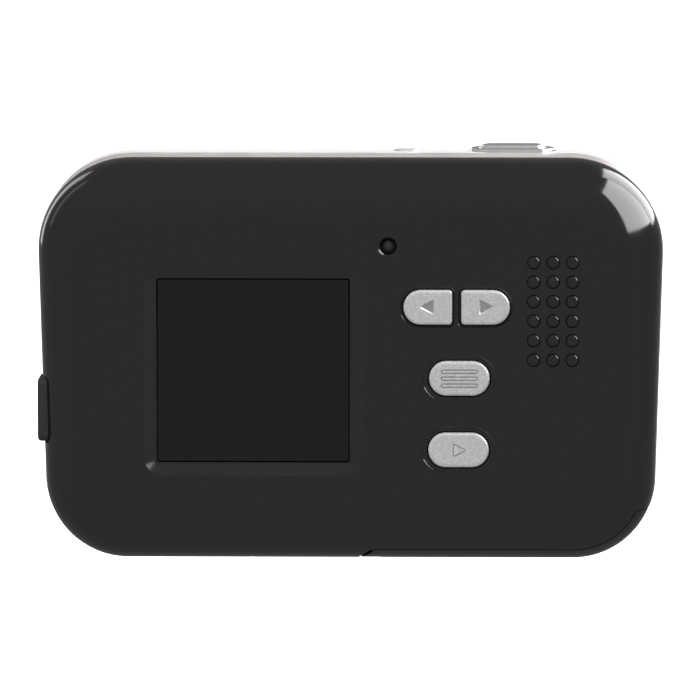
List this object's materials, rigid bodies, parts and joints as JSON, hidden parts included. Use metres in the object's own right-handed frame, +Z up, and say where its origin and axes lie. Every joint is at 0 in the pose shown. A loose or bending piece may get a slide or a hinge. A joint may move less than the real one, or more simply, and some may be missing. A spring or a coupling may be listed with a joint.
{
  "type": "compact digital camera",
  "caption": "Slim compact digital camera with a square rear display, silver rear buttons, a thumb grip, a top shutter button, a hinged battery door and a side port cover.",
  "frame": {"origin": "middle of the base, on the surface the camera stands on", "axes": "+X to the right seen from behind, +Y from the rear face towards the lens, +Z up"},
  "size_m": [0.09, 0.0264, 0.0593],
  "materials": {
    "black_shell": "high-gloss black moulded ABS",
    "silver_frame": "satin silver paint on plastic",
    "pearl_cover": "pearl silver-white paint under clear coat",
    "black_door": "black moulded ABS",
    "display_acrylic": "smoked acrylic window",
    "display_glass": "dark liquid crystal panel",
    "button_silver": "silver metallic paint with fine flake",
    "bezel_silver": "bright plated ring",
    "soft_rubber": "matt black rubber",
    "lamp_lens": "tinted lamp body",
    "inner_plastic": "black glass-filled plastic",
    "circuit_board": "green solder mask",
    "chip_black": "moulded chip package",
    "plated_steel": "nickel plated",
    "ribbon_film": "amber flexible circuit film",
    "lens_glass": "coated optical glass",
    "lens_black": "black anodised",
    "filter_glass": "infrared blocking glass",
    "sensor_glass": "sensor cover glass",
    "reflector_metal": "vapour-coated reflector",
    "flash_diffuser": "ribbed clear diffuser",
    "brass_insert": "turned brass",
    "cell_wrap": "wrapped cell",
    "capacitor_sleeve": "black sleeve over an aluminium can"
  },
  "bodies": {
    "camera_body": {"rear_cover": "black_shell", "mid_frame": "silver_frame", "front_cover": "pearl_cover", "door_hinge_pin": "plated_steel", "case_screws": "plated_steel", "tripod_bush": "brass_insert", "display_window": "display_acrylic", "display_frame": "inner_plastic", "display_panel": "display_glass", "display_ribbon": "ribbon_film", "left_switch": "plated_steel", "right_switch": "plated_steel", "menu_switch": "plated_steel", "play_switch": "plated_steel", "shutter_switch": "plated_steel", "power_switch": "plated_steel", "shutter_bezel": "bezel_silver", "status_lamp": "lamp_lens", "main_board": "circuit_board", "top_board": "circuit_board", "image_processor": "chip_black", "memory_chip": "chip_black", "buzzer": "inner_plastic", "microphone": "plated_steel", "card_socket": "plated_steel", "usb_socket": "plated_steel", "board_screws": "plated_steel", "battery_cell_1": "cell_wrap", "battery_cell_2": "cell_wrap", "battery_box": "inner_plastic", "battery_contact_plate": "plated_steel", "battery_contact_spring": "plated_steel", "lens_bezel": "bezel_silver", "lens_window": "lens_glass", "sensor_board": "circuit_board", "image_sensor": "sensor_glass", "lens_holder": "inner_plastic", "infrared_filter": "filter_glass", "lens_barrel": "lens_black", "front_lens": "lens_glass", "rear_lens": "lens_glass", "flash_window": "flash_diffuser", "flash_reflector": "reflector_metal", "flash_tube": "lens_glass", "flash_capacitor": "capacitor_sleeve"},
    "left_button": {"left_button": "button_silver"},
    "right_button": {"right_button": "button_silver"},
    "menu_button": {"menu_button": "button_silver"},
    "play_button": {"play_button": "button_silver"},
    "shutter_button": {"shutter_button": "button_silver"},
    "power_button": {"power_button": "button_silver"},
    "battery_door": {"battery_door": "black_door", "door_contact": "plated_steel"},
    "port_cover": {"port_cover": "soft_rubber"}
  },
  "joints": [
    {"name": "left_press", "type": "slide", "parent": "camera_body", "child": "left_button", "axis": [0, 1, 0], "range_m": [0, 0.0004], "stiffness_N_per_m": 400},
    {"name": "right_press", "type": "slide", "parent": "camera_body", "child": "right_button", "axis": [0, 1, 0], "range_m": [0, 0.0004], "stiffness_N_per_m": 400},
    {"name": "menu_press", "type": "slide", "parent": "camera_body", "child": "menu_button", "axis": [0, 1, 0], "range_m": [0, 0.0004], "stiffness_N_per_m": 400},
    {"name": "play_press", "type": "slide", "parent": "camera_body", "child": "play_button", "axis": [0, 1, 0], "range_m": [0, 0.0004], "stiffness_N_per_m": 400},
    {"name": "shutter_press", "type": "slide", "parent": "camera_body", "child": "shutter_button", "axis": [0, 0, -1], "range_m": [0, 0.0009], "stiffness_N_per_m": 500},
    {"name": "power_press", "type": "slide", "parent": "camera_body", "child": "power_button", "axis": [0, 0, -1], "range_m": [0, 0.00025], "stiffness_N_per_m": 900},
    {"name": "door_hinge", "type": "hinge", "parent": "camera_body", "child": "battery_door", "pos_m": [0.0031, 0, 0.0015], "axis": [0, 1, 0], "range_deg": [0, 90]},
    {"name": "port_cover_hinge", "type": "hinge", "parent": "camera_body", "child": "port_cover", "pos_m": [-0.045, -0.0038, 0.01715], "axis": [0, -1, 0], "range_deg": [0, 100], "stiffness_Nm_per_rad": 0.0006}
  ]
}
